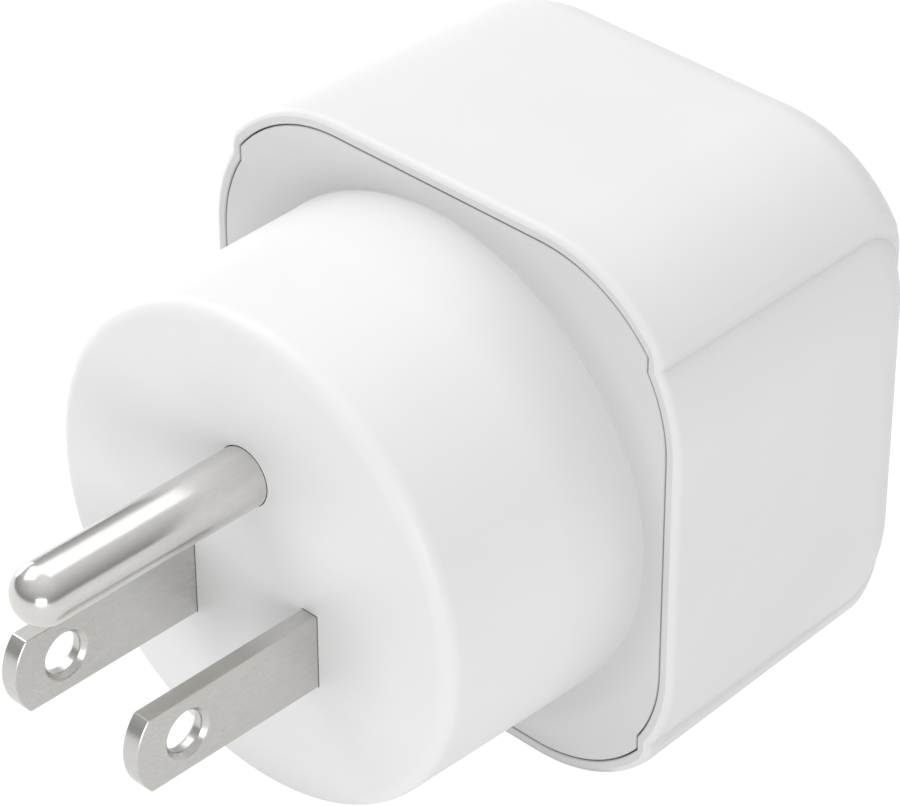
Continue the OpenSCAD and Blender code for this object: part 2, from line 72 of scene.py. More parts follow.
def meshObject(name, points, faces):
    mesh = bpy.data.meshes.new(name)
    mesh.from_pydata([Vector(p) * mm for p in points], [], faces)
    work = bmesh.new()
    work.from_mesh(mesh)
    bmesh.ops.recalc_face_normals(work, faces=work.faces)
    work.to_mesh(mesh)
    work.free()
    obj = bpy.data.objects.new(name, mesh)
    bpy.context.scene.collection.objects.link(obj)
    return obj


def skin(name, rings, loop=False):
    # joins rings of equally many points; a ring of one point is a pole
    starts, points = [], []
    for ring in rings:
        starts.append(len(points))
        points += ring
    steps = list(zip(range(len(rings)), range(1, len(rings))))
    faces = []
    for a, b in steps + ([(len(rings) - 1, 0)] if loop else []):
        count = max(len(rings[a]), len(rings[b]))
        for i in range(count):
            j = (i + 1) % count
            corners = [starts[a] + i % len(rings[a]), starts[a] + j % len(rings[a]),
                       starts[b] + j % len(rings[b]), starts[b] + i % len(rings[b])]
            faces.append(tuple(dict.fromkeys(corners)))
    if not loop:
        for k in (0, len(rings) - 1):
            if len(rings[k]) > 1:
                faces.append(tuple(range(starts[k], starts[k] + len(rings[k]))))
    return meshObject(name, points, faces)


def prism(name, outline, axis, start, end):
    # a flat outline pushed along X, Y or Z
    place = {"x": lambda u, v, w: (w, u, v), "y": lambda u, v, w: (u, w, v),
             "z": lambda u, v, w: (u, v, w)}[axis]
    return skin(name, [[place(u, v, w) for u, v in outline] for w in (start, end)])


def block(name, low, high):
    outline = [(low[0], low[2]), (high[0], low[2]), (high[0], high[2]), (low[0], high[2])]
    return prism(name, outline, "y", low[1], high[1])


def circlePoints(x, z, radius, count=64):
    angles = [2 * math.pi * i / count for i in range(count)]
    return [(x + radius * math.sin(a), z + radius * math.cos(a)) for a in angles]


def bar(name, x, z, y0, y1, radius, count=64):
    return prism(name, circlePoints(x, z, radius, count), "y", y0, y1)


def turned(name, profile, x, z, count=96):
    # a profile of (y, radius) turned about an axis along Y
    rings = []
    for y, radius in profile:
        circle = circlePoints(0, 0, radius, count) if radius > 0 else [(0, 0)]
        rings.append([(x + u, y, z + v) for u, v in circle])
    return skin(name, rings)


def settle(obj):
    # turns the modifiers into mesh
    graph = bpy.context.evaluated_depsgraph_get()
    mesh = bpy.data.meshes.new_from_object(obj.evaluated_get(graph))
    obj.modifiers.clear()
    obj.data = mesh


def combine(obj, others, operation):
    for other in others:
        step = obj.modifiers.new(operation.lower(), "BOOLEAN")
        step.operation, step.solver, step.object = operation, "EXACT", other
    settle(obj)
    for other in others:
        bpy.data.objects.remove(other)


def softenEdges(obj, width, segments=2, angle=30):
    bevel = obj.modifiers.new("edges", "BEVEL")
    bevel.width, bevel.segments = width * mm, segments
    bevel.limit_method, bevel.angle_limit = "ANGLE", math.radians(angle)
    bevel.use_clamp_overlap, bevel.miter_outer = True, "MITER_ARC"
    settle(obj)


cleanUp = {"weld": 0.002, "shortest": 0.001}  # stray points closer than this are joined


def finishPiece(obj, body, material, nodes, sharp=30, weigh=True):
    mesh = obj.data
    work = bmesh.new()
    work.from_mesh(mesh)
    bmesh.ops.remove_doubles(work, verts=work.verts, dist=cleanUp["weld"] * mm)
    bmesh.ops.dissolve_degenerate(work, edges=work.edges, dist=cleanUp["shortest"] * mm)
    work.to_mesh(mesh)
    work.free()
    mesh.shade_smooth()
    mesh.set_sharp_from_angle(angle=math.radians(sharp))
    if weigh:  # keeps the flats flat beside their rounded edges
        weighted = obj.modifiers.new("normals", "WEIGHTED_NORMAL")
        weighted.keep_sharp = True
        settle(obj)
        mesh = obj.data
    mesh.materials.clear()
    mesh.materials.append(material)
    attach(obj, body)
    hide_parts(*nodes)
    print("piece", obj.name, len(mesh.polygons), "faces")


# shared effects for the materials

def newGroup(name, inputs, outputs):
    group = bpy.data.node_groups.new(name, "ShaderNodeTree")
    for label, kind, value in inputs:
        socket = group.interface.new_socket(name=label, in_out="INPUT", socket_type=kind)
        if value is not None:
            socket.default_value = value
    for label, kind in outputs:
        group.interface.new_socket(name=label, in_out="OUTPUT", socket_type=kind)
    return group, group.nodes.new("NodeGroupInput"), group.nodes.new("NodeGroupOutput")


def mathNode(nodes, links, operation, first, second):
    node = nodes.new("ShaderNodeMath")
    node.operation = operation
    for socket, value in zip(node.inputs, (first, second)):
        if isinstance(value, (int, float)):
            socket.default_value = value
        else:
            links.new(value, socket)
    return node.outputs[0]


def noiseNode(nodes, links, vector, scale, detail, roughness=0.5):
    node = nodes.new("ShaderNodeTexNoise")
    links.new(vector, node.inputs["Vector"])
    if isinstance(scale, (int, float)):
        node.inputs["Scale"].default_value = scale
    else:
        links.new(scale, node.inputs["Scale"])
    node.inputs["Detail"].default_value = detail
    node.inputs["Roughness"].default_value = roughness
    return node.outputs["Fac"]


def makeMouldGrain():
    # eroded mould skin: fine grain, and a slow drift of tone from the flow of the plastic
    group, source, result = newGroup(
        "mouldGrain",
        [("Vector", "NodeSocketVector", None), ("Grain Size", "NodeSocketFloat", 0.1),
         ("Drift Size", "NodeSocketFloat", 12.0)],
        [("Height", "NodeSocketFloat"), ("Tone", "NodeSocketFloat"), ("Handling", "NodeSocketFloat")])
    nodes, links = group.nodes, group.links
    grainScale = mathNode(nodes, links, "DIVIDE", 1 / mm, source.outputs["Grain Size"])
    driftScale = mathNode(nodes, links, "DIVIDE", 1 / mm, source.outputs["Drift Size"])
    fine = noiseNode(nodes, links, source.outputs["Vector"], grainScale, 3)
    drift = noiseNode(nodes, links, source.outputs["Vector"], driftScale, 2)
    handlingFiner = 3.3  # than the drift
    handledScale = mathNode(nodes, links, "MULTIPLY", driftScale, handlingFiner)
    handled = noiseNode(nodes, links, source.outputs["Vector"], handledScale, 4, 0.6)
    links.new(fine, result.inputs["Height"])
    links.new(drift, result.inputs["Tone"])
    links.new(handled, result.inputs["Handling"])
    return group


def makeDrawnLines():
    # lines that drawing or rolling leaves: noise stretched along one direction
    group, source, result = newGroup(
        "drawnLines",
        [("Vector", "NodeSocketVector", None), ("Stretch", "NodeSocketVector", (1, 0.05, 1)),
         ("Line Size", "NodeSocketFloat", 0.08), ("Cloud Size", "NodeSocketFloat", 4.0)],
        [("Height", "NodeSocketFloat"), ("Tone", "NodeSocketFloat"), ("Cloud", "NodeSocketFloat")])
    nodes, links = group.nodes, group.links
    pulled = nodes.new("ShaderNodeVectorMath")
    pulled.operation = "MULTIPLY"
    links.new(source.outputs["Vector"], pulled.inputs[0])
    links.new(source.outputs["Stretch"], pulled.inputs[1])
    lineScale = mathNode(nodes, links, "DIVIDE", 1 / mm, source.outputs["Line Size"])
    lines = noiseNode(nodes, links, pulled.outputs[0], lineScale, 3, 0.6)
    wideCoarser = 0.22  # than the lines
    wideScale = mathNode(nodes, links, "MULTIPLY", lineScale, wideCoarser)
    wide = noiseNode(nodes, links, pulled.outputs[0], wideScale, 2)
    cloudScale = mathNode(nodes, links, "DIVIDE", 1 / mm, source.outputs["Cloud Size"])
    cloud = noiseNode(nodes, links, source.outputs["Vector"], cloudScale, 3)
    links.new(lines, result.inputs["Height"])
    links.new(wide, result.inputs["Tone"])
    links.new(cloud, result.inputs["Cloud"])
    return group


def makeWornEdges():
    # edges rubbed a little smoother than the faces
    group, source, result = newGroup(
        "wornEdges",
        [("Pointiness", "NodeSocketFloat", 0.5), ("Break", "NodeSocketFloat", 0.5)],
        [("Mask", "NodeSocketFloat")])
    nodes, links = group.nodes, group.links
    spread = nodes.new("ShaderNodeMapRange")
    flat, edge = 0.52, 0.62  # pointiness of a face and of a full edge
    spread.inputs["From Min"].default_value, spread.inputs["From Max"].default_value = flat, edge
    links.new(source.outputs["Pointiness"], spread.inputs["Value"])
    mask = mathNode(nodes, links, "MULTIPLY", spread.outputs["Result"], source.outputs["Break"])
    links.new(mask, result.inputs["Mask"])
    return group


def makeCornerShade():
    # painted shade: a mask, strong only where a surface is closed in by others, that darkens the colour
    # there
    group, source, result = newGroup(
        "paintedCornerShade", [("Open", "NodeSocketFloat", 1.0), ("Amount", "NodeSocketFloat", 0.3)],
        [("Mask", "NodeSocketFloat")])
    nodes, links = group.nodes, group.links
    spread = nodes.new("ShaderNodeMapRange")
    clear, closed = 1.0, 0.8  # how open a bare face and a closed corner are
    spread.inputs["From Min"].default_value, spread.inputs["From Max"].default_value = clear, closed
    links.new(source.outputs["Open"], spread.inputs["Value"])
    mask = mathNode(nodes, links, "MULTIPLY", spread.outputs["Result"], source.outputs["Amount"])
    links.new(mask, result.inputs["Mask"])
    return group


mouldGrain, drawnLines = makeMouldGrain(), makeDrawnLines()
wornEdges, paintedCornerShade = makeWornEdges(), makeCornerShade()


def startMaterial(name):
    material = bpy.data.materials.new(name)
    material.use_nodes = True
    nodes, links = material.node_tree.nodes, material.node_tree.links
    shader = nodes["Principled BSDF"]
    where = nodes.new("ShaderNodeTexCoord").outputs["Object"]
    return material, nodes, links, shader, where


def placeGroup(nodes, links, group, inputs):
    node = nodes.new("ShaderNodeGroup")
    node.node_tree = group
    for label, value in inputs.items():
        if isinstance(value, bpy.types.NodeSocket):
            links.new(value, node.inputs[label])
        else:
            node.inputs[label].default_value = value
    return node.outputs


def blendColour(nodes, links, factor, first, second):
    mix = nodes.new("ShaderNodeMix")
    mix.data_type = "RGBA"
    links.new(factor, mix.inputs["Factor"])
    for label, value in (("A", first), ("B", second)):
        socket = next(s for s in mix.inputs if s.name == label and s.type == "RGBA")
        if isinstance(value, bpy.types.NodeSocket):
            links.new(value, socket)
        else:
            socket.default_value = (*value, 1)
    return next(s for s in mix.outputs if s.type == "RGBA")


def spanValue(nodes, links, factor, low, high):
    node = nodes.new("ShaderNodeMapRange")
    dark, bright = 0.3, 0.7  # the span that noise mostly fills
    node.inputs["From Min"].default_value, node.inputs["From Max"].default_value = dark, bright
    node.inputs["To Min"].default_value, node.inputs["To Max"].default_value = low, high
    links.new(factor, node.inputs["Value"])
    return node.outputs["Result"]


def addBump(nodes, links, shader, height, depth):
    bump = nodes.new("ShaderNodeBump")
    bump.inputs["Strength"].default_value = 1
    bump.inputs["Distance"].default_value = depth * mm
    links.new(height, bump.inputs["Height"])
    links.new(bump.outputs["Normal"], shader.inputs["Normal"])


def plasticMaterial(name, finish):
    material, nodes, links, shader, where = startMaterial(name)
    grain = placeGroup(nodes, links, mouldGrain,
                       {"Vector": where, "Grain Size": finish["grain"], "Drift Size": finish["drift"]})
    tone = spanValue(nodes, links, grain["Tone"], 0, 1)
    base = blendColour(nodes, links, tone, finish["light"], finish["shade"])
    hollow = nodes.new("ShaderNodeAmbientOcclusion")  # painted shade: the colour darkens in corners that the occlusion finds closed in
    hollow.samples = 8
    hollow.inputs["Distance"].default_value = finish["hollow"] * mm
    mask = placeGroup(nodes, links, paintedCornerShade,
                      {"Open": hollow.outputs["AO"], "Amount": finish["cornerShade"]})
    cornerShaded = blendColour(nodes, links, mask["Mask"], base, finish["cornerShadeTone"])
    links.new(cornerShaded, shader.inputs["Base Color"])
    rough = spanValue(nodes, links, grain["Handling"], *finish["roughness"])
    point = nodes.new("ShaderNodeNewGeometry").outputs["Pointiness"]
    rubbed = placeGroup(nodes, links, wornEdges, {"Pointiness": point, "Break": finish["edgeRub"]})
    links.new(mathNode(nodes, links, "SUBTRACT", rough, rubbed["Mask"]), shader.inputs["Roughness"])
    addBump(nodes, links, shader, grain["Height"], finish["bump"])
    shader.inputs["IOR"].default_value = 1.5
    shader.inputs["Specular IOR Level"].default_value = finish["specular"]
    return material


def metalMaterial(name, finish):
    material, nodes, links, shader, where = startMaterial(name)
    drawn = placeGroup(nodes, links, drawnLines,
                       {"Vector": where, "Stretch": finish["stretch"],
                        "Line Size": finish["line"], "Cloud Size": finish["cloud"]})
    tone = spanValue(nodes, links, drawn["Tone"], 0, 1)
    base = blendColour(nodes, links, tone, finish["light"], finish["shade"])
    cloud = spanValue(nodes, links, drawn["Cloud"], 0, finish["tarnish"])
    links.new(blendColour(nodes, links, cloud, base, finish["dull"]), shader.inputs["Base Color"])
    rough = spanValue(nodes, links, drawn["Height"], *finish["roughness"])
    point = nodes.new("ShaderNodeNewGeometry").outputs["Pointiness"]
    rubbed = placeGroup(nodes, links, wornEdges, {"Pointiness": point, "Break": finish["edgeRub"]})
    links.new(mathNode(nodes, links, "SUBTRACT", rough, rubbed["Mask"]), shader.inputs["Roughness"])
    addBump(nodes, links, shader, drawn["Height"], finish["bump"])
    shader.inputs["Metallic"].default_value = 1
    return material


# painted shade: the last three keys of each plastic finish give a reach, an amount and a dark tone that
# darken its closed-in corners
plasticFinishes = {
    "satinWhitePlastic": {"light": (0.86, 0.86, 0.865), "shade": (0.84, 0.84, 0.845),
                          "roughness": (0.36, 0.46), "grain": 0.09, "drift": 14, "bump": 0.0015,
                          "edgeRub": 0.06, "specular": 0.42,
                          "hollow": 3.0, "cornerShade": 0.75, "cornerShadeTone": (0.5, 0.5, 0.5)},
    # painted light: a lighter copy of the white plastic, for the boss that takes more light than the
    # housing
    "plugLitWhitePlastic": {"light": (0.9, 0.9, 0.905), "shade": (0.885, 0.885, 0.89),
                         "roughness": (0.34, 0.44), "grain": 0.09, "drift": 11, "bump": 0.0015,
                         "edgeRub": 0.06, "specular": 0.45,
                         "hollow": 8.0, "cornerShade": 0.3, "cornerShadeTone": (0.6, 0.6, 0.6)},
    # painted shade: a darker copy of the white plastic, for front faces that take less light
    "flangeShadedWhitePlastic": {"light": (0.75, 0.75, 0.752), "shade": (0.735, 0.735, 0.738),
                           "roughness": (0.4, 0.5), "grain": 0.11, "drift": 12, "bump": 0.002,
                           "edgeRub": 0.06, "specular": 0.4,
                           "hollow": 3.0, "cornerShade": 0.2, "cornerShadeTone": (0.5, 0.5, 0.5)},
    "innerGreyPlastic": {"light": (0.74, 0.75, 0.76), "shade": (0.68, 0.69, 0.7),
                         "roughness": (0.42, 0.56), "grain": 0.12, "drift": 9, "bump": 0.002,
                         "edgeRub": 0.05, "specular": 0.4,
                         "hollow": 2.0, "cornerShade": 0.3, "cornerShadeTone": (0.45, 0.45, 0.44)},
    "slidingPlastic": {"light": (0.84, 0.84, 0.82), "shade": (0.78, 0.78, 0.76),
                       "roughness": (0.26, 0.36), "grain": 0.16, "drift": 7, "bump": 0.001,
                       "edgeRub": 0.05, "specular": 0.5,
                       "hollow": 2.0, "cornerShade": 0.3, "cornerShadeTone": (0.55, 0.54, 0.52)},
}
metalFinishes = {
    "bladeNickel": {"light": (0.66, 0.655, 0.63), "shade": (0.61, 0.6, 0.575),
                    "dull": (0.52, 0.51, 0.48), "tarnish": 0.14, "roughness": (0.26, 0.3),
                    "stretch": (1, 0.1, 1), "line": 0.025, "cloud": 5, "bump": 0.0002, "edgeRub": 0.03},
    "earthPinNickel": {"light": (0.74, 0.73, 0.71), "shade": (0.7, 0.69, 0.665),
                       "dull": (0.6, 0.59, 0.56), "tarnish": 0.18, "roughness": (0.17, 0.23),
                       "stretch": (1, 0.3, 1), "line": 0.06, "cloud": 6, "bump": 0.0004, "edgeRub": 0.03},
    "brassStrip": {"light": (0.8, 0.62, 0.32), "shade": (0.72, 0.54, 0.26),
                   "dull": (0.5, 0.36, 0.18), "tarnish": 0.4, "roughness": (0.24, 0.36),
                   "stretch": (1, 1, 0.06), "line": 0.1, "cloud": 3, "bump": 0.001, "edgeRub": 0.06},
    "contactBronze": {"light": (0.76, 0.53, 0.33), "shade": (0.68, 0.46, 0.27),
                      "dull": (0.45, 0.3, 0.17), "tarnish": 0.4, "roughness": (0.22, 0.34),
                      "stretch": (1, 0.06, 1), "line": 0.09, "cloud": 3, "bump": 0.001, "edgeRub": 0.06},
    "zincSteel": {"light": (0.62, 0.63, 0.65), "shade": (0.55, 0.56, 0.57),
                  "dull": (0.42, 0.42, 0.42), "tarnish": 0.35, "roughness": (0.26, 0.4),
                  "stretch": (1, 1, 1), "line": 0.12, "cloud": 2, "bump": 0.001, "edgeRub": 0.06},
}
finishes = {name: plasticMaterial(name, finish) for name, finish in plasticFinishes.items()}
finishes.update({name: metalMaterial(name, finish) for name, finish in metalFinishes.items()})
slotFinish = {"housing_plastic": "satinWhitePlastic", "inner_plastic": "innerGreyPlastic",
              "shutter_plastic": "slidingPlastic", "pin_metal": "bladeNickel",
              "earth_pin_metal": "earthPinNickel", "brass": "brassStrip",
              "contact_bronze": "contactBronze", "steel": "zincSteel"}
print("materials made:", len(finishes))

# the CAD nodes that stay get the finish of their slot
for part in frame["record"]["subparts"]:
    for materialSlot in frame["nodes"][part["node"]].material_slots:
        materialSlot.material = finishes[slotFinish[part["material_slot"]]]

# planes along Y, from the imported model
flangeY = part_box("outer_housing")[0].y / mm
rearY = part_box("outer_housing")[1].y / mm

# the housing: two clipped bands over two rounded side panels
housing = {
    "width": 47.02, "height": 47.22,
    "sideRadius": 13.9, "bandRadius": 14.15,  # corner arcs
    "bandShift": 0.57, "bandCut": 1.98, "chamfer": 0.5,
    "bandLean": 0.033, "sideLean": 0.024,  # inward, for each mm of depth
    "bandRear": 4.0, "sideRear": 5.1,  # rounding of the rear edges
    "rimWidth": 1.12, "rimRound": 0.62,
    "wall": 3.1, "rearWall": 2.7, "cavityRound": 11.0,
    "edgeBreak": 0.08, "frontFlat": 0.995,  # faces this square to the front belong to the rim
}
flangeThickness = 2.0
seamGap = 0.12
insert = {"halfWidth": 16.51, "halfHeight": 16.9, "round": 4.0}
cornerZ = housing["height"] / 2 - housing["bandRadius"]
sideCentre = housing["width"] / 2 - housing["sideRadius"]
bandCentre = sideCentre + housing["bandShift"]
cutX = housing["width"] / 2 - housing["bandCut"]
seamCutX = cutX - housing["rimWidth"] + 0.05
rearWallY = rearY - housing["rearWall"]
flangeBack = flangeY + flangeThickness
cutRearShare = 0.3  # the bands' flat ends follow the rear round only in part
flatSteps, arcSteps, sideSteps, lowSteps = 8, 30, 14, 5


def edgeInset(distance, radius):
    # how far a rounded edge has moved in, at a distance before its end
    if distance >= radius:
        return 0
    return radius - math.sqrt(max(0, radius ** 2 - (radius - distance) ** 2))


def frontInset(y):
    return edgeInset(y - flangeY, housing["rimRound"])


def bandAt(y):
    return (housing["bandRadius"] - (y - flangeY) * housing["bandLean"] - frontInset(y)
            - edgeInset(rearY - y, housing["bandRear"]))


def sideAt(y):
    return (housing["sideRadius"] - (y - flangeY) * housing["sideLean"] - frontInset(y)
            - edgeInset(rearY - y, housing["sideRear"]))


def cutAt(y):
    return (cutX - (y - flangeY) * housing["sideLean"] - frontInset(y)
            - cutRearShare * edgeInset(rearY - y, housing["bandRear"]))


def reach(centre, radius, z):
    return centre + (radius if z <= cornerZ else math.sqrt(max(0, radius ** 2 - (z - cornerZ) ** 2)))


def skinX(y, z):
    return max(reach(sideCentre, sideAt(y), z), min(cutAt(y), reach(bandCentre, bandAt(y), z)))


def meetZ(centre, radius, x):
    return cornerZ + math.sqrt(max(0, radius ** 2 - min(x - centre, radius) ** 2))


def topAndArc(centre, radius, endAngle):
    # the flat top from the middle out, then the corner arc down to endAngle
    points = [(centre * i / flatSteps, cornerZ + radius) for i in range(flatSteps)]
    for i in range(arcSteps + 1):
        a = math.pi / 2 + (endAngle - math.pi / 2) * i / arcSteps
        points.append((centre + radius * math.cos(a), cornerZ + radius * math.sin(a)))
    return points


def sideHeights(valley):
    upper = max(valley, cornerZ + 0.01)
    high = [cornerZ + (upper - cornerZ) * (1 - i / sideSteps) for i in range(1, sideSteps + 1)]
    return [valley] + high + [cornerZ * (1 - i / lowSteps) for i in range(1, lowSteps + 1)]


def housingQuarter(y):
    radius, x = bandAt(y), cutAt(y)
    edge = meetZ(bandCentre, radius, x)
    valley = meetZ(sideCentre, sideAt(y), x)
    lip = max(edge - housing["chamfer"], valley + 0.3)
    endAngle = math.atan2(edge - cornerZ, min(x - bandCentre, radius)) + housing["chamfer"] / radius
    return topAndArc(bandCentre, radius, endAngle) + [(skinX(y, lip), lip)] + [
        (skinX(y, z), z) for z in sideHeights(valley)]


def seamQuarter(gap):
    # outline of the flange, less an all-round gap
    bandR, sideR = (housing[k] - housing["rimWidth"] - gap for k in ("bandRadius", "sideRadius"))
    x = seamCutX - gap
    edge, valley = meetZ(bandCentre, bandR, x), meetZ(sideCentre, sideR, x)
    endAngle = math.atan2(edge - cornerZ, x - bandCentre)
    return topAndArc(bandCentre, bandR, endAngle) + [(x, (edge + valley) / 2)] + [
        (reach(sideCentre, sideR, z) if z < valley else x, z) for z in sideHeights(valley)]


def padQuarter(halfX, halfZ, radius, like):
    # a rounded rectangle, its points in the same directions as those of another quarter
    points = []
    for x, z in like:
        size = math.hypot(x, z)
        u, v = x / size, z / size
        cx, cz = halfX - radius, halfZ - radius
        if v * halfX <= cz * u:
            t = halfX / u
        elif u * halfZ <= cx * v:
            t = halfZ / v
        else:
            along = u * cx + v * cz
            t = along + math.sqrt(along ** 2 - cx ** 2 - cz ** 2 + radius ** 2)
        points.append((u * t, v * t))
    return points


def ringFrom(quarter, y):
    # mirrors a quarter, which runs from the top down to the side, into a whole ring
    ring = list(quarter)
    ring += [(x, -z) for x, z in reversed(quarter[:-1])]
    ring += [(-x, -z) for x, z in quarter[1:]]
    ring += [(-x, z) for x, z in reversed(quarter[1:-1])]
    return [(x, y, z) for x, z in ring]


def housingStations():
    rim = [flangeY + housing["rimRound"] * (1 - math.cos(math.pi / 2 * i / 8)) for i in range(9)]
    low, high = rearY - housing["sideRear"], rearY
    for _ in range(40):  # where the side panel's round sinks below the bands' flat end
        middle = (low + high) / 2
        low, high = (middle, high) if sideCentre + sideAt(middle) > cutAt(middle) else (low, middle)
    rear = [rearY - housing["sideRear"] * (1 - math.sin(math.pi / 2 * i / 22)) for i in range(23)]
    body = [rim[-1] + (rear[0] - rim[-1]) * i / 8 for i in range(1, 8)]
    return sorted(set(rim + body + rear + [low]))


def buildHousing():
    outer = [ringFrom(housingQuarter(y), y) for y in housingStations()]
    like = housingQuarter(flangeY)
    brk = housing["edgeBreak"]
    opening = tuple(insert[k] + seamGap for k in ("halfWidth", "halfHeight", "round"))
    cavity = (housing["width"] / 2 - housing["wall"], housing["height"] / 2 - housing["wall"],
              housing["cavityRound"])
    inner = [ringFrom(padQuarter(*(v + brk for v in opening), like), rearY),
             ringFrom(padQuarter(*opening, like), rearY - brk),
             ringFrom(padQuarter(*opening, like), rearWallY),
             ringFrom(padQuarter(*cavity, like), rearWallY),
             ringFrom(padQuarter(*cavity, like), flangeBack),
             ringFrom(seamQuarter(0), flangeBack),
             ringFrom(seamQuarter(0), flangeY + brk),
             ringFrom(seamQuarter(-brk), flangeY)]
    obj = skin("housingShell", outer + inner, loop=True)
    finishPiece(obj, "adapter", finishes["satinWhitePlastic"],
                ["outer_housing"], sharp=14)
    obj.data.materials.append(finishes["flangeShadedWhitePlastic"])  # painted shade: the rim's front takes the flange's darker copy of the white plastic
    for face in obj.data.polygons:
        atFront = face.center.y < (flangeY + brk / 2) * mm
        face.material_index = int(atFront and face.normal.y < -housing["frontFlat"])


buildHousing()

# the plug: a round boss on the flange that closes the housing
plug = {
    "bossWidth": 40.45, "bossLean": 0.014, "bossEdge": 1.3,
    "bossWall": 2.4, "faceWall": 3.0, "rootRound": 0.12, "flangeBreak": 0.07,
    "pinGap": 0.05,
}
blade = {
    "spacing": 12.7, "width": 6.3, "thickness": 1.5, "length": 17.35, "tipRise": 1.25,
    "holeWidth": 3.3, "sinkWidth": 4.1, "holeFrom": 12.6, "height": -4.56,
    "lug": 1.4, "tail": 5.0, "edge": 0.06, "rivetHole": 1.05,
}
earthPin = {"width": 4.75, "length": 21.1, "height": 7.35, "collar": 1.3, "tail": 1.6,
            "grooveDepth": 0.3, "grooveWidth": 0.6, "collarEdge": 0.1, "rivetStep": 2.1}
retainerY = plug["faceWall"] + 3.05
tailEnd = retainerY + 8
rivetY = tailEnd - 2.6


def circleRing(radius, y, like):
    sizes = [math.hypot(x, z) for x, z in like]
    return ringFrom([(x * radius / s, z * radius / s) for (x, z), s in zip(like, sizes)], y)


def buildPlug():
    like = seamQuarter(seamGap)
    r0, edge = plug["bossWidth"] / 2, plug["bossEdge"]
    r1 = r0 + plug["bossLean"] * flangeY
    root, brk = plug["rootRound"], plug["flangeBreak"]
    rings = []
    for i in range(11):
        a = math.pi / 2 * i / 10
        rings.append(circleRing(r0 - edge + edge * math.sin(a), edge - edge * math.cos(a), like))
    for i in range(1, 6):
        rings.append(circleRing(r0 + (r1 - r0) * i / 6, edge + (flangeY - root - edge) * i / 6, like))
    for i in range(4):
        a = math.pi / 2 * i / 3
        rings.append(circleRing(r1 + root * (1 - math.cos(a)), flangeY - root * (1 - math.sin(a)),
                                like))
    rings += [ringFrom(seamQuarter(seamGap + brk), flangeY),
              ringFrom(seamQuarter(seamGap), flangeY + brk),
              ringFrom(seamQuarter(seamGap), flangeBack),
              circleRing(r0 - plug["bossWall"], flangeBack, like),
              circleRing(r0 - plug["bossWall"], plug["faceWall"], like)]
    obj = skin("plugBody", rings)
    gap = plug["pinGap"]
    halfT, halfW = blade["thickness"] / 2 + gap, blade["width"] / 2 + gap
    cutters = [bar("pinHole", 0, earthPin["height"], -1, plug["faceWall"] + 1,
                   earthPin["width"] / 2 + gap, 96)]
    for side in (-1, 1):
        x = side * blade["spacing"] / 2
        cutters.append(block("bladeSlot", (x - halfT, -1, blade["height"] - halfW),
                             (x + halfT, plug["faceWall"] + 1, blade["height"] + halfW)))
    combine(obj, cutters, "DIFFERENCE")
    finishPiece(obj, "adapter", finishes["plugLitWhitePlastic"],
                ["plug_base"], sharp=22)
    obj.data.materials.append(finishes["flangeShadedWhitePlastic"])  # painted shade: the flange takes a darker copy of the white plastic, for the light it lacks
    for face in obj.data.polygons:
        atFlange = face.center.y > (flangeY - root) * mm
        face.material_index = int(atFlange and face.center.xz.length > r1 * mm)


def bladeOutline():
    half, rise = blade["width"] / 2, blade["tipRise"]
    tipRadius = (half ** 2 + rise ** 2) / (2 * rise)
    spread = math.asin(half / tipRadius)
    centre = tipRadius - blade["length"]
    tip = []
    for i in range(25):
        a = spread - 2 * spread * i / 24
        tip.append((centre - tipRadius * math.cos(a), tipRadius * math.sin(a)))
    face, lug, tail = plug["faceWall"], half + blade["lug"], blade["tail"] / 2
    back = [(face, -half), (face, -lug), (retainerY, -lug), (retainerY, -tail), (tailEnd, -tail)]
    outline = tip + back + [(y, -z) for y, z in reversed(back)]
    return [(y, z + blade["height"]) for y, z in outline]


def acrossX(name, profile, y, z, count=72):
    # a profile of (x, radius) turned about an axis along X
    return skin(name, [[(x, y + u, z + v) for u, v in circlePoints(0, 0, radius, count)]
                       for x, radius in profile])


def buildBlade(name, node, side):
    x, half = side * blade["spacing"] / 2, blade["thickness"] / 2
    obj = prism(name, bladeOutline(), "x", x - half, x + half)
    hole, sink = blade["holeWidth"] / 2, (blade["sinkWidth"] - blade["holeWidth"]) / 2
    profile = [(x - half - 0.3, hole + sink + 0.3), (x - half + sink, hole), (x + half - sink, hole),
               (x + half + 0.3, hole + sink + 0.3)]
    rivet = [(x - 2, blade["rivetHole"]), (x + 2, blade["rivetHole"])]
    combine(obj, [acrossX("bladeHole", profile, -blade["holeFrom"], blade["height"]),
                  acrossX("rivetHole", rivet, rivetY, blade["height"])], "DIFFERENCE")
    softenEdges(obj, blade["edge"], 1)
    finishPiece(obj, "adapter", finishes["bladeNickel"], [node], sharp=20)


def buildEarthPin():
    r = earthPin["width"] / 2
    profile = []
    for i in range(25):
        a = math.pi / 2 * i / 24
        profile.append((r - r * math.cos(a) - earthPin["length"], r * math.sin(a)))
    face, collar = plug["faceWall"], r + earthPin["collar"]
    groove, width = r - earthPin["grooveDepth"], earthPin["grooveWidth"]
    edge, tail, step = earthPin["collarEdge"], earthPin["tail"], earthPin["rivetStep"]
    profile += [(y * -1.0, r) for y in (16, 13, 10, 7, 4, 2)]
    profile += [(-0.01, r), (0, groove), (width, groove), (width + 0.01, r),
                (face, r), (face, collar - edge), (face + edge, collar),
                (retainerY - edge, collar), (retainerY, collar - edge), (retainerY, tail),
                (rivetY - 0.4, tail), (rivetY - 0.4, step), (rivetY + 0.3, step),
                (rivetY + 0.3, tail), (tailEnd - 2, tail), (tailEnd - 2, 0)]
    obj = turned("earthPinTurned", profile, 0, earthPin["height"], 96)
    finishPiece(obj, "adapter", finishes["earthPinNickel"], ["earth_pin"])


buildPlug()
buildBlade("liveBladeStamped", "live_blade", 1)
buildBlade("neutralBladeStamped", "neutral_blade", -1)
buildEarthPin()

